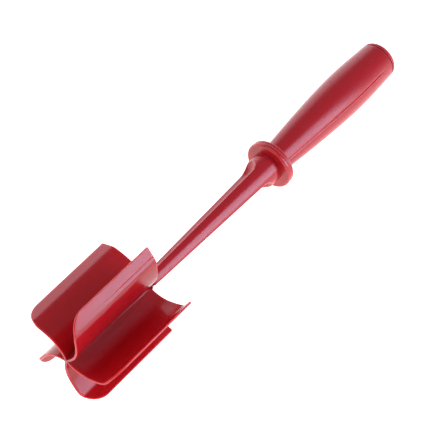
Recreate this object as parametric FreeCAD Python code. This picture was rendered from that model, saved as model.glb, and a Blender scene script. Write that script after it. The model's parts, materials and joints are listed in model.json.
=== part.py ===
import FreeCAD, Part

import math
import os

# Five-blade ground-meat chopper, lying at rest on a flat surface.
#
# The tool is drawn upright in its own frame: z runs along the tool's axis from the free ends of the blades
# (z = 0) to the end cap, and x points to the tip of blade_1. It is then laid down on the edges of two blades
# and the end of its handle. In the finished frame +X runs from the blades to the handle, +Z is up, and the
# origin is the centre of the footprint. All sizes are in millimetres.

V = FreeCAD.Vector

# Driving dimensions, taken along the tool's axis from the blade ends
OVERALL_LENGTH = 262.0
HEAD_HEIGHT = 61.0
COLLAR_START = 159.6
CAP_SEAM = 256.6

# Blades
BLADE_COUNT = 5
TIP_RADIUS = 29.6
BLADE_THICKNESS = 1.2
ROOT_ANGLE = 53.0
ROOT_BEND_RADIUS = 17.0
BACK_RADIUS = 40.0
BACK_TURN = 12.0
LIP_BEND_RADIUS = 5.5
LIP_TURN = 29.0
CORNER_REACH = 10.0
CORNER_HEIGHT = 11.5
FEET = ("blade_3", "blade_4")

# Hub, the slim core that the blades grow from, flared at its top into the stem's foot
HUB_END_RADIUS = 1.2
HUB_NECK_RADIUS = 2.7
HUB_FLARE_LENGTH = 4.0
STEM_FOOT_RADIUS = 5.4

# Stem with its two lengthwise grooves
NECK_RADIUS = 8.7
GROOVE_STOP = 152.5
GROOVE_ANGLE = 124.0
GROOVE_AXIS_RATIO = 1.52
GROOVE_RADIUS_RATIO = 1.22
GROOVE_END_ROUND = 5.0
GROOVE_OVERRUN = 6.0

# Tang, the stem's round tail inside the handle
TANG_RADIUS = 4.5
TANG_LENGTH = 39.0
TANG_CHAMFER = 1.0
SLIP = 0.05

# Guard collar and the handle's flange, one on the other
COLLAR_RADIUS = 13.6
COLLAR_THICKNESS = 2.6
COLLAR_ROUND = 1.2
FLANGE_RADIUS = 13.4
FLANGE_THICKNESS = 2.3
FLANGE_ROUND = 1.0
RIM_GROOVE_ROUND = 0.4

# Handle, a hollow barrel
HANDLE_NECK_RADIUS = 7.8
HANDLE_NECK_BLEND = 1.6
HANDLE_SHOULDER = (186.0, 9.55)
HANDLE_GRIP = (206.0, 10.95)
HANDLE_BELLY = (228.0, 11.7)
HANDLE_END_RADIUS = 10.6
CAVITY_RADIUS = 8.2
SOCKET_FLOOR = 4.0
SEAM_ROUND = 0.3

# End cap
CAP_RADIUS = 10.55
SKIRT_LENGTH = 7.0
SKIRT_WALL = 1.5


def polar(radius, degrees):
    """Point in the plane z = 0 at a radius and an angle from +x."""
    a = math.radians(degrees)
    return V(radius * math.cos(a), radius * math.sin(a), 0)


def arc_step(radius, heading, end_heading):
    """Step made by a clockwise arc that turns from one heading to another."""
    return polar(radius, heading - 90) - polar(radius, end_heading - 90)


def strip(start, heading, runs, thickness):
    """Flat strip of one thickness that follows straight and curved runs in the plane z = 0.

    A straight run is (length, 0, 0) and a curved one is (0, radius, degrees), turning clockwise.
    """
    half = thickness / 2
    left = []
    right = []
    spot = V(start)
    for length, radius, degrees in runs:
        side = polar(1, heading + 90)
        if radius:
            centre = spot - side * radius
            turns = [heading + 90, heading + 90 - degrees / 2, heading + 90 - degrees]
            outer = [centre + polar(radius + half, a) for a in turns]
            inner = [centre + polar(radius - half, a) for a in turns]
            left.append(Part.Arc(*outer).toShape())
            right.append(Part.Arc(*inner).toShape())
            heading -= degrees
            spot = centre + polar(radius, heading + 90)
        else:
            ahead = spot + polar(length, heading)
            left.append(Part.makeLine(spot + side * half, ahead + side * half))
            right.append(Part.makeLine(spot - side * half, ahead - side * half))
            spot = ahead
    ends = [
        Part.makeLine(left[0].firstVertex().Point, right[0].firstVertex().Point),
        Part.makeLine(left[-1].lastVertex().Point, right[-1].lastVertex().Point),
    ]
    edges = Part.__sortEdges__(left + right + ends)
    return Part.Face(Part.Wire(edges))


def turned(profile):
    """Solid of revolution about z from a closed list of edges in the plane y = 0."""
    wire = Part.Wire(Part.__sortEdges__(profile))
    return Part.Face(wire).revolve(V(0, 0, 0), V(0, 0, 1), 360)


def path(points):
    """Straight edges through points given as (radius, height)."""
    spots = [V(r, 0, z) for r, z in points]
    return [Part.makeLine(a, b) for a, b in zip(spots[:-1], spots[1:])]


def quarter(start, end, centre):
    """Quarter-round edge between two (radius, height) points about a centre."""
    a = V(start[0], 0, start[1])
    b = V(end[0], 0, end[1])
    c = V(centre[0], 0, centre[1])
    mid = (a + b) * 0.5 - c
    mid.normalize()
    return Part.Arc(a, c + mid * (a - c).Length, b).toShape()


def hub():
    neck = HEAD_HEIGHT - HUB_FLARE_LENGTH
    return turned(path([
        (0, 0),
        (HUB_END_RADIUS, 0),
        (HUB_NECK_RADIUS, neck),
        (STEM_FOOT_RADIUS, HEAD_HEIGHT),
        (0, HEAD_HEIGHT),
        (0, 0),
    ]))


def corner_cutter():
    """Block that leaves a blade's outer corner rounded where it meets the free end."""
    overhang = BLADE_THICKNESS / 2 * math.sin(math.radians(BACK_TURN + LIP_TURN))
    inset = TIP_RADIUS + overhang - CORNER_REACH
    reach = TIP_RADIUS
    block = Part.makeBox(CORNER_REACH + reach, 4 * reach, CORNER_HEIGHT + reach)
    block.translate(V(inset, -2 * reach, -reach))
    axis_start = V(0, -3 * reach, 0)
    rod = Part.makeCylinder(CORNER_REACH, 6 * reach, axis_start, V(0, 1, 0))
    stretch = FreeCAD.Matrix()
    stretch.scale(1, 1, CORNER_HEIGHT / CORNER_REACH)
    rod = rod.transformGeometry(stretch)
    rod.translate(V(inset, 0, CORNER_HEIGHT))
    return block.cut(rod)


def blade(core, cutter):
    """The blade whose tip is on +x: a thin wall with a C-shaped section."""
    lip_heading = -BACK_TURN - LIP_TURN
    curved = arc_step(ROOT_BEND_RADIUS, ROOT_ANGLE, 0)
    curved += arc_step(BACK_RADIUS, 0, -BACK_TURN)
    curved += arc_step(LIP_BEND_RADIUS, -BACK_TURN, lip_heading)
    lip = (TIP_RADIUS - curved.x) / polar(1, lip_heading).x
    start = V(0, -curved.y - polar(lip, lip_heading).y, 0)
    runs = [
        (0, ROOT_BEND_RADIUS, ROOT_ANGLE),
        (0, BACK_RADIUS, BACK_TURN),
        (0, LIP_BEND_RADIUS, LIP_TURN),
        (lip, 0, 0),
    ]
    wall = strip(start, ROOT_ANGLE, runs, BLADE_THICKNESS).extrude(V(0, 0, HEAD_HEIGHT))
    wall = wall.cut(cutter).cut(core)
    return max(wall.Solids, key=lambda s: s.Volume)


def groove(at):
    """Long tapered cutter for one groove, with a rounded end short of the collar."""
    rise = (NECK_RADIUS - STEM_FOOT_RADIUS) / (COLLAR_START - HEAD_HEIGHT)
    low = HEAD_HEIGHT - GROOVE_OVERRUN
    foot = STEM_FOOT_RADIUS - rise * GROOVE_OVERRUN
    head = STEM_FOOT_RADIUS + rise * (GROOVE_STOP - HEAD_HEIGHT)
    start = V(GROOVE_AXIS_RATIO * foot, 0, low)
    run = V(GROOVE_AXIS_RATIO * head, 0, GROOVE_STOP) - start
    cone = Part.makeCone(
        GROOVE_RADIUS_RATIO * foot, GROOVE_RADIUS_RATIO * head, run.Length, start, run
    )
    rim = max(cone.Edges, key=lambda e: e.CenterOfMass.z)
    cone = cone.makeFillet(GROOVE_END_ROUND, [rim])
    cone.rotate(V(0, 0, 0), V(0, 0, 1), at)
    return cone


def stem():
    length = COLLAR_START - HEAD_HEIGHT
    bar = Part.makeCone(STEM_FOOT_RADIUS, NECK_RADIUS, length, V(0, 0, HEAD_HEIGHT))
    for side in (0, 180):
        bar = bar.cut(groove(GROOVE_ANGLE + side))
    tang = Part.makeCylinder(TANG_RADIUS, TANG_LENGTH, V(0, 0, COLLAR_START))
    tip = max(tang.Edges, key=lambda e: e.CenterOfMass.z)
    tang = tang.makeChamfer(TANG_CHAMFER, [tip])
    return bar.fuse(tang).removeSplitter()


def guard_collar():
    low = COLLAR_START
    high = COLLAR_START + COLLAR_THICKNESS
    bore = TANG_RADIUS + SLIP
    r = COLLAR_RADIUS
    f = COLLAR_ROUND
    g = RIM_GROOVE_ROUND
    profile = path([(bore, high), (bore, low), (r - f, low)])
    profile.append(quarter((r - f, low), (r, low + f), (r - f, low + f)))
    profile += path([(r, low + f), (r, high - g)])
    profile.append(quarter((r, high - g), (r - g, high), (r - g, high - g)))
    profile += path([(r - g, high), (bore, high)])
    return turned(profile)


def handle():
    low = COLLAR_START + COLLAR_THICKNESS
    top = low + FLANGE_THICKNESS
    bore = TANG_RADIUS + SLIP
    r = FLANGE_RADIUS
    f = FLANGE_ROUND
    g = RIM_GROOVE_ROUND
    n = HANDLE_NECK_RADIUS
    b = HANDLE_NECK_BLEND
    e = HANDLE_END_RADIUS
    s = SEAM_ROUND
    deep = COLLAR_START + TANG_LENGTH + SOCKET_FLOOR
    profile = path([(bore, low), (r - g, low)])
    profile.append(quarter((r - g, low), (r, low + g), (r - g, low + g)))
    profile += path([(r, low + g), (r, top - f)])
    profile.append(quarter((r, top - f), (r - f, top), (r - f, top - f)))
    profile += path([(r - f, top), (n + b, top)])
    profile.append(quarter((n + b, top), (n, top + b), (n + b, top + b)))
    barrel = Part.BSplineCurve()
    barrel.interpolate([
        V(n, 0, top + b),
        V(HANDLE_SHOULDER[1], 0, HANDLE_SHOULDER[0]),
        V(HANDLE_GRIP[1], 0, HANDLE_GRIP[0]),
        V(HANDLE_BELLY[1], 0, HANDLE_BELLY[0]),
        V(e, 0, CAP_SEAM - s),
    ])
    profile.append(barrel.toShape())
    profile.append(quarter((e, CAP_SEAM - s), (e - s, CAP_SEAM), (e - s, CAP_SEAM - s)))
    mouth = [(e - s, CAP_SEAM), (CAVITY_RADIUS, CAP_SEAM), (CAVITY_RADIUS, deep)]
    profile += path(mouth + [(bore, deep), (bore, low)])
    return turned(profile)


def end_cap():
    top = OVERALL_LENGTH
    low = CAP_SEAM
    r = CAP_RADIUS
    s = SEAM_ROUND
    outer = CAVITY_RADIUS - SLIP
    inner = outer - SKIRT_WALL
    rise = top - low - s
    half_way = math.sqrt(0.5)
    dome = Part.BSplineCurve()
    dome.interpolate(
        [V(r, 0, low + s), V(half_way * r, 0, low + s + half_way * rise), V(0, 0, top)],
        Tangents=[V(0, 0, 1), V(-r, 0, rise), V(-1, 0, 0)],
        TangentFlags=[True, True, True],
    )
    profile = path([(0, top), (0, low), (inner, low), (inner, low - SKIRT_LENGTH)])
    profile += path([(inner, low - SKIRT_LENGTH), (outer, low - SKIRT_LENGTH), (outer, low)])
    profile += path([(outer, low), (r - s, low)])
    profile.append(quarter((r - s, low), (r, low + s), (r - s, low + s)))
    profile.append(dome.toShape())
    return turned(profile)


def lay_down(parts):
    """Rest the upright tool on two blade edges and its handle's end, and centre it over the origin."""
    laid = {}
    for node, shape in parts.items():
        shape = shape.copy()
        shape.rotate(V(0, 0, 0), V(0, 1, 0), 90)
        shape.rotate(V(0, 0, 0), V(1, 0, 0), 180)
        laid[node] = shape
    near, far = [laid[node].optimalBoundingBox(False).ZMin for node in FEET]
    stance = 2 * TIP_RADIUS * math.sin(math.pi / BLADE_COUNT)
    roll = math.degrees(math.atan((near - far) / stance))
    for shape in laid.values():
        shape.rotate(V(0, 0, 0), V(1, 0, 0), roll)
    edge_drop = -laid[FEET[0]].optimalBoundingBox(False).ZMin
    slope = (edge_drop - HANDLE_END_RADIUS) / (CAP_SEAM - HEAD_HEIGHT)
    for shape in laid.values():
        shape.rotate(V(0, 0, 0), V(0, 1, 0), math.degrees(math.atan(slope)))
    box = Part.makeCompound(list(laid.values())).optimalBoundingBox(False)
    home = V(-box.Center.x, -box.Center.y, -box.ZMin)
    for shape in laid.values():
        shape.translate(home)
    return laid


def build():
    core = hub()
    cutter = corner_cutter()
    first = blade(core, cutter)
    parts = {"hub": core}
    for k in range(BLADE_COUNT):
        turn = first.copy()
        turn.rotate(V(0, 0, 0), V(0, 0, 1), k * 360 / BLADE_COUNT)
        parts["blade_%d" % (k + 1)] = turn
    parts["stem"] = stem()
    parts["guard_collar"] = guard_collar()
    parts["handle"] = handle()
    parts["end_cap"] = end_cap()
    return lay_down(parts)


os.makedirs("parts", exist_ok=True)
for node, shape in build().items():
    shape.exportStep("parts/%s.step" % node)
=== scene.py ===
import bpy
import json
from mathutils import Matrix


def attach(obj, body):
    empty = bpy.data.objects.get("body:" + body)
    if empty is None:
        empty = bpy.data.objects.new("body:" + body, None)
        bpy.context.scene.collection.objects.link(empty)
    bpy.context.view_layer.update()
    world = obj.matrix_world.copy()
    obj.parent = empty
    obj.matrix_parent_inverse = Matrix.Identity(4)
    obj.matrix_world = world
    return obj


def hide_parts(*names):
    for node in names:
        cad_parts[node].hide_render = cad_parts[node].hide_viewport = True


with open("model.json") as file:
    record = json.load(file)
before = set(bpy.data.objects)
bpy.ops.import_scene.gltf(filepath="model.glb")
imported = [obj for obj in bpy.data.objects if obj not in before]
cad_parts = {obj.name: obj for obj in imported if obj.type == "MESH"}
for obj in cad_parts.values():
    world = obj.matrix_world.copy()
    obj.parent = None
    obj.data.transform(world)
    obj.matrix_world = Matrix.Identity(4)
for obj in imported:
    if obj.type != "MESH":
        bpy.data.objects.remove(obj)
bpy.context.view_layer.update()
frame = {"nodes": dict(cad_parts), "record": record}

import json
import math

import bmesh
import bpy
import numpy as np
from mathutils import Matrix, Quaternion, Vector
from mathutils.geometry import delaunay_2d_cdt

# Five-blade chopper. Every piece is modelled in the tool's own frame in millimetres, with z along the
# tool's axis from the free ends of the blades and x towards the tip of blade_1, and is then placed on
# the CAD frame.

# stations along the axis
HEAD_HEIGHT = 61.0
COLLAR_START = 159.6
CAP_SEAM = 256.6
OVERALL_LENGTH = 262.0

# blades: a curved wall of (radius, turn in degrees) bends, with a straight run out to the tip
BLADE_COUNT = 5
BLADE_TURN = 360 / BLADE_COUNT
TIP_RADIUS = 29.6
ROOT_ANGLE = 53.0
BENDS = ((17.0, 53.0), (40.0, 12.0), (7.0, 21.0), (1.0, 8.0))
LIP_HEADING = ROOT_ANGLE - sum(turn for _, turn in BENDS)
CORNER_INSET = 19.99
CORNER_HEIGHT = 11.5
TOP_CORNER = 0.7
ROOT_BURIED = 1.6
WALL_ROOT = 1.32
WALL_TIP = 1.1
EDGE_ROUND = 0.42
END_RECESS = 0.03
CAD_HALF_WALL = 0.6
CREASE_DEPTH = 0.17
CREASE_WIDTH = 0.32
CREASE_AHEAD = 1.3
CREASE_START = 12.0
CREASE_FADE = 25.0

# hub: a thin core that flares to a crown inside the stem's foot
HUB_END_RADIUS = 1.2
STEM_FOOT_RADIUS = 5.4
HUB_NECK_RADIUS = 2.7
FLARE_START = 57.0
HUB_FILLET = 0.5
GAP_POINTS = 26
CROWN_HEIGHT = 2.4
CROWN_RADIUS = 4.2
CROWN_OVERLAP = 0.5
FOOT_ROUND = 1.6

# stem: a tapered bar with two grooves, and the tang inside the handle
NECK_RADIUS = 8.7
GROOVE_ANGLE = 124.0
GROOVE_AXIS_RATIO = 1.52
GROOVE_RADIUS_RATIO = 1.17
GROOVE_END_START = 145.5
GROOVE_END_STOP = 153.2
GROOVE_LIP_ROUND = 0.75
TANG_RADIUS = 4.5
TANG_LENGTH = 39.0
TANG_ROUND = 1.0
SLIP = 0.05

# guard collar, and the handle's flange that lies on it
COLLAR_RADIUS = 13.6
COLLAR_THICKNESS = 2.6
COLLAR_FRONT_ROUND = 1.15
RIM_GROOVE_ROUND = 0.45
FLANGE_RADIUS = 13.4
FLANGE_THICKNESS = 2.3
FLANGE_ROUND = 1.0

# handle as (radius, height) points, and its domed end cap
HANDLE_PROFILE = [(7.8, 166.1), (9.55, 186.0), (10.95, 206.0), (11.7, 228.0), (10.6, 256.25)]
HANDLE_NECK_BLEND = 1.6
CAVITY_RADIUS = 8.2
SOCKET_FLOOR = 4.0
SEAM_ROUND = 0.5
SEAM_GAP = 0.3
CAP_RADIUS = 10.5
CAP_SKIRT = 7.0
CAP_WALL = 1.5
CAP_EDGE_HEIGHT = 0.45
CAP_EDGE_ROUND = 0.3
DOME_POWER = 0.94

# mould parting lines along the handle
PARTING_ANGLE = 62.0
PARTING_WIDTH = 0.6
PARTING_DEPTH = 0.35
PARTING_INSET = 1.2
PARTING_STOP = 251.0
PARTING_FADE_IN = 2
PARTING_FADE_OUT = 6
HOLLOW_RADIUS = 7

# edge curvature, per millimetre, at which the painted highlight on raised edges begins and is complete
EDGE_HIGHLIGHT_STARTS = 0.35
EDGE_HIGHLIGHT_FULL = 1.2
MM_PER_METRE = 1000

# ---------------------------------------------------------------- placing on the CAD frame


def placement():
    """Matrix from the tool's own frame in millimetres to the row frame in metres."""
    mount = next(m for m in frame["record"]["mounts"] if m["name"] == "blade_ends")
    origin = Vector(mount["pos_m"])
    along = -Vector(mount["axis"]).normalized()
    verts = frame["nodes"]["blade_1"].data.vertices
    spokes = [(v.co - origin) - along * (v.co - origin).dot(along) for v in verts]
    tip = max(spokes, key=lambda r: r.length)
    lip_side = math.radians(LIP_HEADING + 90)
    outer = math.atan2(
        CAD_HALF_WALL * math.sin(lip_side), TIP_RADIUS + CAD_HALF_WALL * math.cos(lip_side))
    x = Quaternion(along, -outer) @ tip.normalized()
    y = along.cross(x)
    m = Matrix.Identity(4)
    for row in range(3):
        m[row][0] = x[row] * 0.001
        m[row][1] = y[row] * 0.001
        m[row][2] = along[row] * 0.001
        m[row][3] = origin[row]
    return m


PLACE = placement()


def turned(angle):
    """Placement of something turned about the tool's axis by an angle in degrees."""
    return PLACE @ Matrix.Rotation(math.radians(angle), 4, "Z")


def piece(name, verts, faces, material, matrix=None, sharp=40.0):
    """Makes one named piece from points in millimetres, riding on the root body."""
    mesh = bpy.data.meshes.new(name + "_mesh")
    mesh.from_pydata([tuple(float(c) for c in v) for v in verts], [], faces)
    mesh.transform(PLACE if matrix is None else matrix)
    mesh.validate()
    mesh.update()
    mesh.shade_smooth()
    obj = bpy.data.objects.new(name, mesh)
    bpy.context.scene.collection.objects.link(obj)
    mesh.materials.append(material)
    fix_faces(obj, sharp)
    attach(obj, "root")
    return obj


def fix_faces(obj, sharp):
    """Points every face outwards and marks as sharp the edges that bend more than an angle in degrees.

    It also stores on every vertex how far a painted highlight pales the raised edge there, from 0 to 1.
    """
    bm = bmesh.new()
    bm.from_mesh(obj.data)
    bmesh.ops.remove_doubles(bm, verts=bm.verts, dist=2e-7)
    bmesh.ops.dissolve_degenerate(bm, dist=1e-7, edges=bm.edges)
    bmesh.ops.recalc_face_normals(bm, faces=bm.faces)
    limit = math.radians(sharp)
    for e in bm.edges:
        e.smooth = len(e.link_faces) == 2 and e.calc_face_angle(0.0) < limit
    # painted highlight: how sharply each raised edge curves sets how much paler the material paints it
    edge_light = bm.verts.layers.float.new("edge_highlight")
    for v in bm.verts:
        curves = [0.0]
        for e in v.link_edges:
            if len(e.link_faces) == 2:
                one, two = (f.calc_center_median() for f in e.link_faces)
                apart = max(MM_PER_METRE * (one - two).length, 1e-3)
                curves.append(e.calc_face_angle_signed(0.0) / apart)
        v[edge_light] = min(1.0, max(0.0, (max(curves) - EDGE_HIGHLIGHT_STARTS) / (EDGE_HIGHLIGHT_FULL - EDGE_HIGHLIGHT_STARTS)))
    bm.to_mesh(obj.data)
    bm.free()


# ---------------------------------------------------------------- blades


def blade_line(step=0.02):
    """The middle line of a blade's section: lengths, points, left-hand normals and ends of the bends."""
    s, points, heads, marks = [0.0], [np.zeros(2)], [ROOT_ANGLE], []

    def follow(length, turn):
        n = max(2, int(round(length / step)))
        start, head = s[-1], heads[-1]
        for k in range(1, n + 1):
            mid = math.radians(head - turn * (k - 0.5) / n)
            points.append(points[-1] + length / n * np.array([math.cos(mid), math.sin(mid)]))
            s.append(start + length * k / n)
            heads.append(head - turn * k / n)
        marks.append(s[-1])

    for radius, turn in BENDS:
        follow(math.radians(turn) * radius, turn)
    follow((TIP_RADIUS - points[-1][0]) / math.cos(math.radians(LIP_HEADING)), 0.0)
    points = np.array(points) - np.array([0.0, points[-1][1]])
    heads = np.radians(heads)
    return np.array(s), points, np.stack([-np.sin(heads), np.cos(heads)], 1), marks


LINE_S, LINE_P, LINE_N, LINE_MARKS = blade_line()
SPAN = LINE_S[-1]


def on_line(s):
    """Point and normal of the blade's middle line at lengths s."""
    s = np.asarray(s, float)
    p = np.stack([np.interp(s, LINE_S, LINE_P[:, k]) for k in range(2)], -1)
    n = np.stack([np.interp(s, LINE_S, LINE_N[:, k]) for k in range(2)], -1)
    return p, n / np.linalg.norm(n, axis=-1, keepdims=True)


def half_wall(s):
    """Half the blade's thickness at lengths s: a little more at the root than at the tip."""
    return (WALL_ROOT + (WALL_TIP - WALL_ROOT) * np.clip(np.asarray(s) / SPAN, 0, 1)) / 2


def wall_point(s, z, offset):
    """Points at lengths s and heights z, moved off the middle surface by offset."""
    p, n = on_line(s)
    xy = p + n * np.asarray(offset)[..., None]
    return np.column_stack([xy, z])


def blade_outline():
    """The blade's edge, anticlockwise, as (length along the section, height), and its outward normals."""
    s_corner = float(np.interp(CORNER_INSET, LINE_P[:, 0], LINE_S))
    low, high = END_RECESS, HEAD_HEIGHT - END_RECESS
    pts = [(ROOT_BURIED, low)]
    pts += [(v, low) for v in np.arange(ROOT_BURIED + 0.9, s_corner - 0.2, 0.4)]
    for a in np.radians(np.linspace(0, 90, 48)):
        u = CORNER_INSET + (TIP_RADIUS - CORNER_INSET) * math.sin(a)
        s = float(np.interp(u, LINE_P[:, 0], LINE_S))
        rise = (CORNER_HEIGHT - low) * (1 - math.cos(a))
        pts.append((s if a < math.pi / 2 - 1e-6 else SPAN, low + rise))
    top = high - TOP_CORNER
    pts += [(SPAN, v) for v in np.arange(CORNER_HEIGHT + 0.5, top - 0.2, 0.5)]
    for a in np.radians(np.linspace(0, 90, 7)):
        pts.append((SPAN - TOP_CORNER * (1 - math.cos(a)), top + TOP_CORNER * math.sin(a)))
    pts += [(v, high) for v in np.arange(SPAN - TOP_CORNER - 0.4, ROOT_BURIED + 0.8, -0.4)]
    pts.append((ROOT_BURIED, high))
    pts += [(ROOT_BURIED, v) for v in np.arange(high - 1.2, low + 1.0, -1.2)]
    pts = np.array(pts)
    ahead = np.roll(pts, -1, 0) - pts
    ahead /= np.linalg.norm(ahead, axis=1, keepdims=True)
    mean = ahead + np.roll(ahead, 1, 0)
    mean /= np.linalg.norm(mean, axis=1, keepdims=True)
    out = np.stack([mean[:, 1], -mean[:, 0]], 1)
    stretch = 1 / np.clip(np.einsum("ij,ij->i", mean, ahead), 0.7, 1)
    return pts, out * stretch[:, None]


def blade_mesh(crease_depth):
    """One blade as a closed thin wall with rounded edges all round, and a fine crease along its lip."""
    edge, out = blade_outline()
    count = len(edge)
    ring = edge - out * EDGE_ROUND
    crease = LINE_MARKS[2] + CREASE_AHEAD
    columns = list(np.arange(ROOT_BURIED + 0.9, LINE_MARKS[1] - 0.3, 0.7))
    columns += list(np.linspace(LINE_MARKS[1], crease - 0.3, 7))
    columns += [crease - 0.12, crease + 0.04, crease + 0.2, crease + 0.36, crease + 0.52]
    columns += list(np.arange(crease + 1.1, SPAN - 0.7, 0.8))
    rows = np.arange(1.1, HEAD_HEIGHT - 0.9, 1.2)
    grid = np.array([(s, z) for s in columns for z in rows])
    a, b = ring, np.roll(ring, -1, 0)
    side = (b - a)[None, :, 0] * (grid[:, None, 1] - a[None, :, 1])
    side -= (b - a)[None, :, 1] * (grid[:, None, 0] - a[None, :, 0])
    inside = (side / np.linalg.norm(b - a, axis=1)[None]).min(1) > 0.3
    flat = np.vstack([ring, grid[inside]])
    loop = [(k, (k + 1) % count) for k in range(count)]
    got = delaunay_2d_cdt([Vector(v) for v in flat], loop, [], 0, 1e-6)
    flat = np.array([tuple(v) for v in got[0]])
    tris = [tuple(f) for f in got[2]]
    origin = {}
    for new, olds in enumerate(got[3]):
        for old in olds:
            origin[old] = new
    half = half_wall(flat[:, 0])
    along = np.clip((flat[:, 1] - CREASE_START) / CREASE_FADE, 0, 1)
    across = np.clip(1 - np.abs(flat[:, 0] - crease - 0.2) / CREASE_WIDTH, 0, 1)
    nick = crease_depth * along * across
    top = wall_point(flat[:, 0], flat[:, 1], half - nick)
    bottom = wall_point(flat[:, 0], flat[:, 1], -half)
    verts = [top, bottom]
    n = len(flat)
    faces = tris + [tuple(v + n for v in reversed(f)) for f in tris]
    bands = [[origin[k] for k in range(count)]]
    base = 2 * n
    steps = 5
    for sign in (1, -1):
        order = range(1, steps + 1) if sign > 0 else range(steps, 0, -1)
        for j in order:
            a = math.radians(90 * j / steps)
            at = edge - out * EDGE_ROUND * (1 - math.sin(a))
            h = half_wall(at[:, 0]) - EDGE_ROUND * (1 - math.cos(a))
            verts.append(wall_point(at[:, 0], at[:, 1], sign * h))
            bands.append(list(range(base, base + count)))
            base += count
    bands.append([origin[k] + n for k in range(count)])
    for one, two in zip(bands[:-1], bands[1:]):
        for k in range(count):
            m = (k + 1) % count
            faces.append((one[k], one[m], two[m], two[k]))
    return np.vstack(verts), faces


# ---------------------------------------------------------------- hub


def turn2(p, degrees):
    """Points in the plane, turned about the origin."""
    a = math.radians(degrees)
    c, s = math.cos(a), math.sin(a)
    p = np.asarray(p)
    return np.stack([p[..., 0] * c - p[..., 1] * s, p[..., 0] * s + p[..., 1] * c], -1)


def crossing(one, two):
    """Where two polylines first cross: (point, place on one, place on two)."""
    a, b = one[:-1], one[1:]
    c, d = two[:-1], two[1:]
    ab, cd = b - a, d - c
    den = ab[:, None, 0] * cd[None, :, 1] - ab[:, None, 1] * cd[None, :, 0]
    ac = c[None] - a[:, None]
    t = (ac[..., 0] * cd[None, :, 1] - ac[..., 1] * cd[None, :, 0]) / den
    u = (ac[..., 0] * ab[:, None, 1] - ac[..., 1] * ab[:, None, 0]) / den
    hit = np.argwhere((t >= 0) & (t <= 1) & (u >= 0) & (u <= 1))
    i, j = hit[0]
    return a[i] + t[i, j] * ab[i], i + t[i, j], j + u[i, j]


def arc_points(centre, a, b, count):
    """Points along the short way round a circle from a to b."""
    ra, rb = a - centre, b - centre
    start = math.atan2(ra[1], ra[0])
    sweep = (math.atan2(rb[1], rb[0]) - start + math.pi) % (2 * math.pi) - math.pi
    t = np.linspace(0, 1, count)
    r = np.linalg.norm(ra)
    return centre + r * np.stack([np.cos(start + sweep * t), np.sin(start + sweep * t)], 1)


def spaced(path, count):
    """The same path with evenly spaced points."""
    d = np.concatenate([[0], np.cumsum(np.linalg.norm(np.diff(path, axis=0), axis=1))])
    t = np.linspace(0, d[-1], count)
    return np.stack([np.interp(t, d, path[:, k]) for k in range(2)], 1)


def gap_section(core, fillet, inset, count):
    """The hub's edge in one gap, from a blade's left side round the core to the next one's right side."""
    step = 0.1
    s = np.arange(0.0, 16.0, step)
    p, n = on_line(s)
    half = (half_wall(s) - inset)[:, None]
    f = fillet + inset
    left, left_off = p + half * n, p + (half + f) * n
    right, right_off = turn2(p - half * n, BLADE_TURN), turn2(p - (half + f) * n, BLADE_TURN)
    centre, i, j = crossing(left_off, right_off)
    near = np.linalg.norm(centre) - f
    core = core - inset
    at = np.arange(len(s))

    def pick(path, k):
        return np.array([np.interp(k, at, path[:, 0]), np.interp(k, at, path[:, 1])])

    if near >= core:
        a, b = pick(left, i), pick(right, j)
        path = arc_points(centre, a, b, 60)
    else:
        r_left = np.linalg.norm(left_off, axis=1)
        r_right = np.linalg.norm(right_off, axis=1)
        i = float(np.interp(core + f, r_left[5:], at[5:]))
        j = float(np.interp(core + f, r_right[5:], at[5:]))
        ca, cb = pick(left_off, i), pick(right_off, j)
        ta, tb = ca * core / (core + f), cb * core / (core + f)
        path = np.vstack([
            arc_points(ca, pick(left, i), ta, 40),
            arc_points(np.zeros(2), ta, tb, 40)[1:],
            arc_points(cb, tb, pick(right, j), 40)[1:],
        ])
    return spaced(path, count), i * step, j * step


def hub_section(core, inset):
    """Closed outline of the hub: five concave gaps whose ends dip inside the blades."""
    gap, s_left, s_right = gap_section(core, HUB_FILLET, inset, GAP_POINTS)
    p, _ = on_line([min(s_left, s_right) - 0.5])
    loop = []
    for k in range(BLADE_COUNT):
        loop.append(turn2(p, BLADE_TURN * k))
        loop.append(turn2(gap, BLADE_TURN * k))
    return np.vstack(loop)


def loft(sections, heights):
    """Quads between closed sections of equal count, with flat ends."""
    count = len(sections[0])
    verts = np.vstack([np.column_stack([s, np.full(count, z)]) for s, z in zip(sections, heights)])
    faces = []
    for k in range(len(sections) - 1):
        for i in range(count):
            j = (i + 1) % count
            faces.append((k * count + i, k * count + j, (k + 1) * count + j, (k + 1) * count + i))
    faces.append(tuple(reversed(range(count))))
    faces.append(tuple((len(sections) - 1) * count + i for i in range(count)))
    return verts, faces


def joined(verts, faces, more, extra):
    """Two meshes as one."""
    base = len(verts)
    return np.vstack([verts, more]), faces + [tuple(i + base for i in f) for f in extra]


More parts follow.
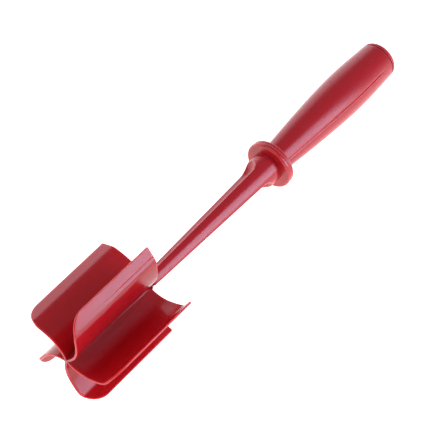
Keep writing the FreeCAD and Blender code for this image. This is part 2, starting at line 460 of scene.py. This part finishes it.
def hub_mesh():
    """The hub, and the crown that closes it inside the stem's foot."""
    steps = [(0.0, EDGE_ROUND)]
    for j in range(1, 5):
        a = math.radians(90 * j / 4)
        steps.append((EDGE_ROUND * (1 - math.cos(a)), EDGE_ROUND * (1 - math.sin(a))))
    body = [(z, 0.0) for z in np.linspace(EDGE_ROUND, FLARE_START, 36)[1:]]
    body += [(z, 0.0) for z in np.linspace(FLARE_START, HEAD_HEIGHT - EDGE_ROUND, 12)[1:-1]]
    levels = steps + body + [(HEAD_HEIGHT - z, inset) for z, inset in reversed(steps)]
    sections, heights = [], []
    for z, inset in levels:
        flare = max(0.0, (z - FLARE_START) / (HEAD_HEIGHT - FLARE_START))
        core = HUB_END_RADIUS + (HUB_NECK_RADIUS - HUB_END_RADIUS) * min(1.0, z / FLARE_START)
        core += (CROWN_RADIUS - HUB_NECK_RADIUS) * flare ** 2
        sections.append(hub_section(core, inset))
        heights.append(z)
    verts, faces = loft(sections, heights)
    crown = [(0.0, HEAD_HEIGHT + CROWN_HEIGHT)]
    for a in np.radians(np.linspace(10, 90, 9)):
        crown.append((CROWN_RADIUS * math.sin(a), HEAD_HEIGHT + CROWN_HEIGHT * math.cos(a)))
    foot = HEAD_HEIGHT - CROWN_OVERLAP
    crown += [(CROWN_RADIUS, foot), (0.0, foot)]
    return joined(verts, faces, *revolve(crown, 64))


# ---------------------------------------------------------------- turned pieces


def revolve(profile, columns, closed=False, dent=None):
    """Solid of revolution from (radius, height) points, at a number of columns or at given angles.

    dent(radius, height, angles) is how far the surface moves outwards.
    """
    if np.isscalar(columns):
        angles = np.linspace(0, 2 * math.pi, columns, endpoint=False)
    else:
        angles = np.array(columns)
    n = len(angles)
    verts, rings = [], []
    for r, z in profile:
        if r < 1e-9:
            rings.append([len(verts)])
            verts.append((0.0, 0.0, z))
            continue
        rr = np.full(n, float(r)) if dent is None else r + dent(r, z, angles)
        rings.append(list(range(len(verts), len(verts) + n)))
        verts += list(zip(rr * np.cos(angles), rr * np.sin(angles), np.full(n, float(z))))
    faces = []
    pairs = list(zip(rings[:-1], rings[1:])) + ([(rings[-1], rings[0])] if closed else [])
    for a, b in pairs:
        for i in range(n):
            j = (i + 1) % n
            if len(a) == 1 and len(b) == 1:
                continue
            if len(a) == 1:
                faces.append((a[0], b[j], b[i]))
            elif len(b) == 1:
                faces.append((a[i], a[j], b[0]))
            else:
                faces.append((a[i], a[j], b[j], b[i]))
    return np.array(verts), faces


def bend(points, rounds, steps=6):
    """A profile through corner points, each rounded by its radius."""
    out = [points[0]]
    for k in range(1, len(points) - 1):
        p, a, b = (np.array(points[i], float) for i in (k, k - 1, k + 1))
        r = rounds.get(k, 0.0)
        if r == 0:
            out.append(tuple(p))
            continue
        u, v = (a - p) / np.linalg.norm(a - p), (b - p) / np.linalg.norm(b - p)
        angle = math.acos(max(-1, min(1, float(u @ v))))
        reach = r / math.tan(angle / 2)
        middle = p + (u + v) / np.linalg.norm(u + v) * r / math.sin(angle / 2)
        out += [tuple(q) for q in arc_points(middle, p + u * reach, p + v * reach, steps + 1)]
    out.append(points[-1])
    return out


def smooth_curve(points, per_span):
    """Natural cubic through (radius, height) points, as a function of height."""
    z = np.array([p[1] for p in points])
    r = np.array([p[0] for p in points])
    n = len(z)
    h = np.diff(z)
    m = np.zeros((n, n))
    rhs = np.zeros(n)
    m[0, 0] = m[-1, -1] = 1
    for i in range(1, n - 1):
        m[i, i - 1], m[i, i], m[i, i + 1] = h[i - 1], 2 * (h[i - 1] + h[i]), h[i]
        rhs[i] = 6 * ((r[i + 1] - r[i]) / h[i] - (r[i] - r[i - 1]) / h[i - 1])
    c = np.linalg.solve(m, rhs)
    out = []
    for i in range(n - 1):
        for t in np.linspace(z[i], z[i + 1], per_span, endpoint=False):
            a, b = z[i + 1] - t, t - z[i]
            out.append((
                c[i] * a ** 3 / (6 * h[i]) + c[i + 1] * b ** 3 / (6 * h[i])
                + (r[i] / h[i] - c[i] * h[i] / 6) * a + (r[i + 1] / h[i] - c[i + 1] * h[i] / 6) * b,
                float(t),
            ))
    out.append((float(r[-1]), float(z[-1])))
    return out


def collar_mesh():
    """The guard collar, a ring round the tang."""
    low, high = COLLAR_START, COLLAR_START + COLLAR_THICKNESS
    bore = TANG_RADIUS + SLIP
    points = [(bore, low), (COLLAR_RADIUS, low), (COLLAR_RADIUS, high), (bore, high)]
    profile = bend(points, {1: COLLAR_FRONT_ROUND, 2: RIM_GROOVE_ROUND}, 8)
    return revolve(profile, 160, closed=True)


def handle_mesh():
    """The hollow handle with its flange, its socket and a parting line on each side."""
    low = COLLAR_START + COLLAR_THICKNESS
    top = low + FLANGE_THICKNESS
    bore = TANG_RADIUS + SLIP
    deep = COLLAR_START + TANG_LENGTH + SOCKET_FLOOR
    neck = HANDLE_PROFILE[0]
    rim = bend([(bore, low), (FLANGE_RADIUS, low), (FLANGE_RADIUS, top), (neck[0], top), neck],
               {1: RIM_GROOVE_ROUND, 2: FLANGE_ROUND, 3: HANDLE_NECK_BLEND - 0.01}, 8)
    barrel = smooth_curve(HANDLE_PROFILE, 24)
    seam = CAP_SEAM - SEAM_GAP
    end = bend([barrel[-2], (HANDLE_PROFILE[-1][0], seam), (CAVITY_RADIUS, seam),
                (CAVITY_RADIUS, deep), (bore, deep), (bore, low + 1)], {1: SEAM_ROUND}, 6)
    profile = rim + barrel[1:-1] + end[1:]
    lines = [math.radians(PARTING_ANGLE + side) for side in (0, 180)]
    angles = list(np.linspace(0, 2 * math.pi, 144, endpoint=False))
    half = PARTING_WIDTH / 11
    for line in lines:
        angles = [a for a in angles if abs(a - line) > 2.2 * half]
        angles += [line + k * half for k in (-1.6, -1.0, -0.5, 0.0, 0.5, 1.0, 1.6)]
    angles = sorted(a % (2 * math.pi) for a in angles)

    def dent(r, z, a):
        if z < top + PARTING_INSET or z > PARTING_STOP or r < HOLLOW_RADIUS:
            return np.zeros(len(a))
        fade = min(1.0, (z - top - PARTING_INSET) / PARTING_FADE_IN, (PARTING_STOP - z) / PARTING_FADE_OUT)
        out = np.zeros(len(a))
        for line in lines:
            out -= PARTING_DEPTH * fade * np.clip(1 - np.abs(a - line) * r / PARTING_WIDTH, 0, 1)
        return out

    return revolve(profile, angles, closed=True, dent=dent)


def cap_mesh():
    """The domed end cap with its plug skirt."""
    low = CAP_SEAM + SEAM_GAP
    outer = CAVITY_RADIUS - SLIP
    inner = outer - CAP_WALL
    edge_top = low + CAP_EDGE_HEIGHT
    rise = OVERALL_LENGTH - edge_top
    skirt = [(0.0, low), (inner, low), (inner, low - CAP_SKIRT), (outer, low - CAP_SKIRT)]
    edge = bend([(outer, low), (CAP_RADIUS, low), (CAP_RADIUS, edge_top)], {1: CAP_EDGE_ROUND}, 5)
    dome = []
    for a in np.radians(np.linspace(0, 90, 26)):
        dome.append((CAP_RADIUS * math.cos(a) ** DOME_POWER, edge_top + rise * math.sin(a)))
    dome[-1] = (0.0, OVERALL_LENGTH)
    return revolve(skirt + edge + dome[1:], 144)


# ---------------------------------------------------------------- stem


def stem_quarter(radius, axis, groove, lip):
    """A quarter of the stem's section, from the middle of a land to the middle of the groove on +x."""
    if axis - groove >= radius - 0.02:
        a = np.linspace(math.pi / 2, 0, 400)
        return radius * np.stack([np.cos(a), np.sin(a)], 1)
    inner, outer = radius - lip, groove + lip
    x = (inner ** 2 - outer ** 2 + axis ** 2) / (2 * axis)
    if inner ** 2 <= x ** 2:
        a = np.linspace(math.pi / 2, 0, 400)
        rr = np.minimum(radius, (axis - groove) / np.maximum(np.cos(a), 1e-6))
        return rr[:, None] * np.stack([np.cos(a), np.sin(a)], 1)
    centre = np.array([x, math.sqrt(inner ** 2 - x ** 2)])
    on_bar = centre * radius / inner
    to_groove = np.array([axis, 0.0]) - centre
    on_groove = centre + to_groove * lip / outer
    land = arc_points(np.zeros(2), np.array([0.0, radius]), on_bar, 220)
    round_ = arc_points(centre, on_bar, on_groove, 120)
    floor = arc_points(np.array([axis, 0.0]), on_groove, np.array([axis - groove, 0.0]), 260)
    return np.vstack([land, round_[1:], floor[1:]])


def weighted(path, count, pull=0.9):
    """Resamples a path with more points where it curves."""
    d = np.linalg.norm(np.diff(path, axis=0), axis=1)
    t = np.diff(path, axis=0) / np.maximum(d, 1e-9)[:, None]
    turn = np.zeros(len(d))
    turn[1:] = np.abs(np.arctan2(
        t[:-1, 0] * t[1:, 1] - t[:-1, 1] * t[1:, 0], np.einsum("ij,ij->i", t[:-1], t[1:])))
    w = np.concatenate([[0], np.cumsum(d + pull * turn)])
    at = np.linspace(0, w[-1], count)
    return np.stack([np.interp(at, w, path[:, k]) for k in range(2)], 1)


def stem_mesh():
    """The grooved stem with its rounded foot, and the tang."""
    count = 56
    fine = 140
    heights = [HEAD_HEIGHT + FOOT_ROUND * (1 - math.cos(a)) for a in np.radians(np.linspace(0, 90, 7))]
    heights += list(np.linspace(HEAD_HEIGHT + FOOT_ROUND, fine, 56))[1:]
    heights += list(np.linspace(fine, GROOVE_END_STOP + 0.8, 64))[1:]
    heights += [COLLAR_START - 3, COLLAR_START + 0.3]
    sections = []
    slope = (NECK_RADIUS - STEM_FOOT_RADIUS) / (COLLAR_START - HEAD_HEIGHT)
    for z in heights:
        radius = STEM_FOOT_RADIUS + slope * (z - HEAD_HEIGHT)
        drop = max(0.0, 1 - (z - HEAD_HEIGHT) / FOOT_ROUND)
        radius -= FOOT_ROUND * (1 - math.sqrt(1 - drop ** 2))
        axis, groove = GROOVE_AXIS_RATIO * radius, GROOVE_RADIUS_RATIO * radius
        shut = axis - radius
        t = min(1.0, max(0.0, (z - GROOVE_END_START) / (GROOVE_END_STOP - GROOVE_END_START)))
        groove = shut + (groove - shut) * math.sqrt(max(0.0, 1 - t ** 2.2)) if t < 1 else 0.0
        quarter = weighted(stem_quarter(radius, axis, groove, GROOVE_LIP_ROUND), count)
        mirror = quarter * np.array([1, -1])
        side = np.vstack([mirror[:-1], quarter[::-1][:-1]])
        ring = np.vstack([side, -side])
        sections.append(turn2(ring, GROOVE_ANGLE))
    verts, faces = loft(sections, heights)
    tang = bend([(0.0, COLLAR_START), (TANG_RADIUS, COLLAR_START),
                 (TANG_RADIUS, COLLAR_START + TANG_LENGTH), (0.0, COLLAR_START + TANG_LENGTH)],
                {2: TANG_ROUND}, 3)
    return joined(verts, faces, *revolve(tang, 48))


# ---------------------------------------------------------------- materials


NYLON_DEEP = (0.38, 0.007, 0.013)
NYLON_LIGHT = (0.45, 0.009, 0.017)
# paler reds painted on raised edges as a highlight, for light caught by the rounded edges
NYLON_EDGE_HIGHLIGHT_DEEP = (0.62, 0.05, 0.06)
NYLON_EDGE_HIGHLIGHT_LIGHT = (0.7, 0.07, 0.08)


def fill_ramp(node, stops):
    """Sets a colour ramp's (position, colour) stops."""
    elements = node.color_ramp.elements
    while len(elements) < len(stops):
        elements.new(0.5)
    for e, (pos, colour) in zip(elements, stops):
        e.position = pos
        e.color = colour


def nylon(name, tone, rough, grain, glow, depth):
    """Moulded red nylon: flow marks, edges painted paler as a highlight, an uneven gloss and a very fine
    skin.

    tone scales the colours and is set per piece as painted light and shade, rough is the middle roughness,
    grain is the skin's share of the bump, and glow and depth are the weight and the scale in metres of
    the light that spreads inside.
    """
    mat = bpy.data.materials.new(name)
    mat.use_nodes = True
    nodes, links = mat.node_tree.nodes, mat.node_tree.links
    shader = nodes["Principled BSDF"]
    shader.inputs["IOR"].default_value = 1.5
    shader.inputs["Subsurface Weight"].default_value = glow
    shader.inputs["Subsurface Radius"].default_value = (1.0, 0.06, 0.05)
    shader.inputs["Subsurface Scale"].default_value = depth
    where = nodes.new("ShaderNodeTexCoord")

    def noise(scale, detail, stretch=None):
        tex = nodes.new("ShaderNodeTexNoise")
        tex.inputs["Scale"].default_value = scale
        tex.inputs["Detail"].default_value = detail
        if stretch:
            mapping = nodes.new("ShaderNodeMapping")
            mapping.inputs["Scale"].default_value = stretch
            links.new(where.outputs["Object"], mapping.inputs["Vector"])
            links.new(mapping.outputs["Vector"], tex.inputs["Vector"])
        else:
            links.new(where.outputs["Object"], tex.inputs["Vector"])
        return tex.outputs["Fac"]

    def ramp(source, stops):
        r = nodes.new("ShaderNodeValToRGB")
        fill_ramp(r, stops)
        links.new(source, r.inputs["Fac"])
        return r.outputs["Color"]

    def toned(rgb):
        return tuple(c * tone for c in rgb) + (1,)

    flow = noise(26.0, 3.0, (0.25, 1.0, 1.0))
    colour = ramp(flow, [(0.3, toned(NYLON_DEEP)), (0.7, toned(NYLON_LIGHT))])
    # painted highlight: raised edges are mixed towards a paler red, in uneven patches
    edges = nodes.new("ShaderNodeAttribute")
    edges.attribute_name = "edge_highlight"
    patchy = nodes.new("ShaderNodeMath")
    patchy.operation = "MULTIPLY"
    links.new(edges.outputs["Fac"], patchy.inputs[0])
    patches = ramp(noise(160.0, 3.0), [(0.3, (0.35, 0.35, 0.35, 1)), (0.65, (1, 1, 1, 1))])
    links.new(patches, patchy.inputs[1])
    edge_highlight_mix = nodes.new("ShaderNodeMix")
    edge_highlight_mix.data_type = "RGBA"
    links.new(patchy.outputs["Value"], edge_highlight_mix.inputs["Factor"])
    links.new(colour, edge_highlight_mix.inputs["A"])
    edge_highlight_colour = ramp(flow, [(0.3, toned(NYLON_EDGE_HIGHLIGHT_DEEP)), (0.7, toned(NYLON_EDGE_HIGHLIGHT_LIGHT))])
    links.new(edge_highlight_colour, edge_highlight_mix.inputs["B"])
    links.new(edge_highlight_mix.outputs["Result"], shader.inputs["Base Color"])
    gloss = noise(90.0, 5.0, (0.4, 1.0, 1.0))
    spread = nodes.new("ShaderNodeMapRange")
    spread.inputs["From Min"].default_value = 0.3
    spread.inputs["From Max"].default_value = 0.7
    spread.inputs["To Min"].default_value = rough - 0.03
    spread.inputs["To Max"].default_value = rough + 0.04
    links.new(gloss, spread.inputs["Value"])
    links.new(spread.outputs["Result"], shader.inputs["Roughness"])
    skin = noise(1500.0, 2.0, (0.1, 1.0, 1.0))
    wave = noise(70.0, 2.0)
    add = nodes.new("ShaderNodeMath")
    add.operation = "MULTIPLY_ADD"
    add.inputs[1].default_value = grain
    links.new(skin, add.inputs[0])
    links.new(wave, add.inputs[2])
    bump = nodes.new("ShaderNodeBump")
    bump.inputs["Strength"].default_value = 0.05
    bump.inputs["Distance"].default_value = 0.001
    links.new(add.outputs["Value"], bump.inputs["Height"])
    links.new(bump.outputs["Normal"], shader.inputs["Normal"])
    return mat


# ---------------------------------------------------------------- the object

# tones differ per piece as painted light and shade: darker blades and hub, lighter stem, collar, handle,
# cap
BLADE_NYLON = nylon("blade_nylon_red", 0.9, 0.2, 0.15, 1.0, 0.0042)
HUB_NYLON = nylon("hub_nylon_red", 0.9, 0.22, 0.15, 0.1, 0.001)
STEM_NYLON = nylon("stem_nylon_red", 1.13, 0.2, 0.04, 0.3, 0.001)
HANDLE_NYLON = nylon("handle_nylon_red", 1.05, 0.25, 0.1, 0.3, 0.001)
CAP_NYLON = nylon("cap_nylon_red", 1.04, 0.22, 0.1, 0.3, 0.001)

CREASED_WALL = blade_mesh(CREASE_DEPTH)
PLAIN_WALL = blade_mesh(0.0)
for k in range(BLADE_COUNT):
    wall_verts, wall_faces = CREASED_WALL if k == 0 else PLAIN_WALL
    node = "blade_%d" % (k + 1)
    blade = piece(
        node + "_moulded", wall_verts, wall_faces, BLADE_NYLON, turned(BLADE_TURN * k), 60)
    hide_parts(node)

for node, mesh_of, material, slot in (
    ("hub", hub_mesh, HUB_NYLON, "blade_nylon"),
    ("stem", stem_mesh, STEM_NYLON, "stem_nylon"),
    ("guard_collar", collar_mesh, STEM_NYLON, "stem_nylon"),
    ("handle", handle_mesh, HANDLE_NYLON, "handle_nylon"),
    ("end_cap", cap_mesh, CAP_NYLON, "cap_nylon"),
):
    verts, faces = mesh_of()
    made = piece(node + "_moulded", verts, faces, material)
    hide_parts(node)

# ---------------------------------------------------------------- floor, lights and camera


def plain_floor():
    """A white disc just under the tool."""
    radius, sides, depth = 8, 64, -0.0001
    mesh = bpy.data.meshes.new("floor_mesh")
    angles = np.linspace(0, 2 * math.pi, sides + 1)[:-1]
    ring = [(radius * math.cos(a), radius * math.sin(a), depth) for a in angles]
    mesh.from_pydata(ring, [], [tuple(range(sides))])
    floor = bpy.data.objects.new("floor", mesh)
    bpy.context.scene.collection.objects.link(floor)
    mat = bpy.data.materials.new("floor_white")
    mat.use_nodes = True
    shader = mat.node_tree.nodes["Principled BSDF"]
    shader.inputs["Base Color"].default_value = (0.5, 0.5, 0.5, 1)
    shader.inputs["Roughness"].default_value = 0.9
    shader.inputs["Specular IOR Level"].default_value = 0.1
    shader.inputs["Emission Color"].default_value = (1, 1, 1, 1)
    shader.inputs["Emission Strength"].default_value = 1.3
    mesh.materials.append(mat)


def softbox(name, towards, distance, size, power, colour):
    """A large area light that faces the object from a direction."""
    data = bpy.data.lights.new(name, "AREA")
    data.shape = "RECTANGLE"
    data.size, data.size_y = size
    data.energy = power
    data.color = colour
    light = bpy.data.objects.new(name, data)
    bpy.context.scene.collection.objects.link(light)
    back = Vector(towards).normalized()
    light.location = back * distance
    light.rotation_mode = "QUATERNION"
    light.rotation_quaternion = back.to_track_quat("Z", "Y")
    light.visible_camera = False


def studio_world():
    """Pale surroundings that are white at the horizon and darker overhead."""
    world = bpy.data.worlds.new("studio")
    bpy.context.scene.world = world
    world.use_nodes = True
    nodes, links = world.node_tree.nodes, world.node_tree.links
    background = nodes["Background"]
    where = nodes.new("ShaderNodeTexCoord")
    split = nodes.new("ShaderNodeSeparateXYZ")
    shade = nodes.new("ShaderNodeValToRGB")
    white = (1, 1, 1, 1)
    fill_ramp(shade, [
        (0.0, white), (0.12, white), (0.4, (0.3, 0.29, 0.33, 1)), (1.0, (0.26, 0.26, 0.3, 1)),
    ])
    links.new(where.outputs["Generated"], split.inputs["Vector"])
    links.new(split.outputs["Z"], shade.inputs["Fac"])
    links.new(shade.outputs["Color"], background.inputs["Color"])
    background.inputs["Strength"].default_value = 1.05


plain_floor()
studio_world()
softbox("softbox_right", (0.29, -0.53, 0.29), 0.67, (0.28, 0.56), 2.85, (0.74, 0.76, 1.0))
softbox("softbox_left", (0.53, 0.8, 0.3), 1.9, (1.2, 0.9), 3.7, (1.0, 0.72, 0.86))
softbox("softbox_top", (-0.15, 0.5, 0.85), 1.6, (0.7, 0.6), 5.0, (1.0, 0.98, 0.97))

VIEW_AZIMUTH = 308.10
VIEW_ELEVATION = 54.73
VIEW_ROLL = -0.32
VIEW_FROM = (-0.5295, -0.4037, 0.9476)
LENS = 187.64
camera_data = bpy.data.cameras.new("camera")
camera = bpy.data.objects.new("camera", camera_data)
bpy.context.scene.collection.objects.link(camera)
camera_data.lens = LENS
camera_data.sensor_width = 36.0
camera_data.clip_start = 0.05
camera_data.clip_end = 50.0
camera.location = VIEW_FROM
az, el = math.radians(VIEW_AZIMUTH), math.radians(VIEW_ELEVATION)
back = Vector((math.sin(az) * math.cos(el), -math.cos(az) * math.cos(el), math.sin(el)))
camera.rotation_mode = "QUATERNION"
turn = back.to_track_quat("Z", "Y")
camera.rotation_quaternion = turn @ Quaternion((0, 0, 1), math.radians(-VIEW_ROLL))
bpy.context.scene.camera = camera
bpy.context.scene.view_settings.view_transform = "Standard"
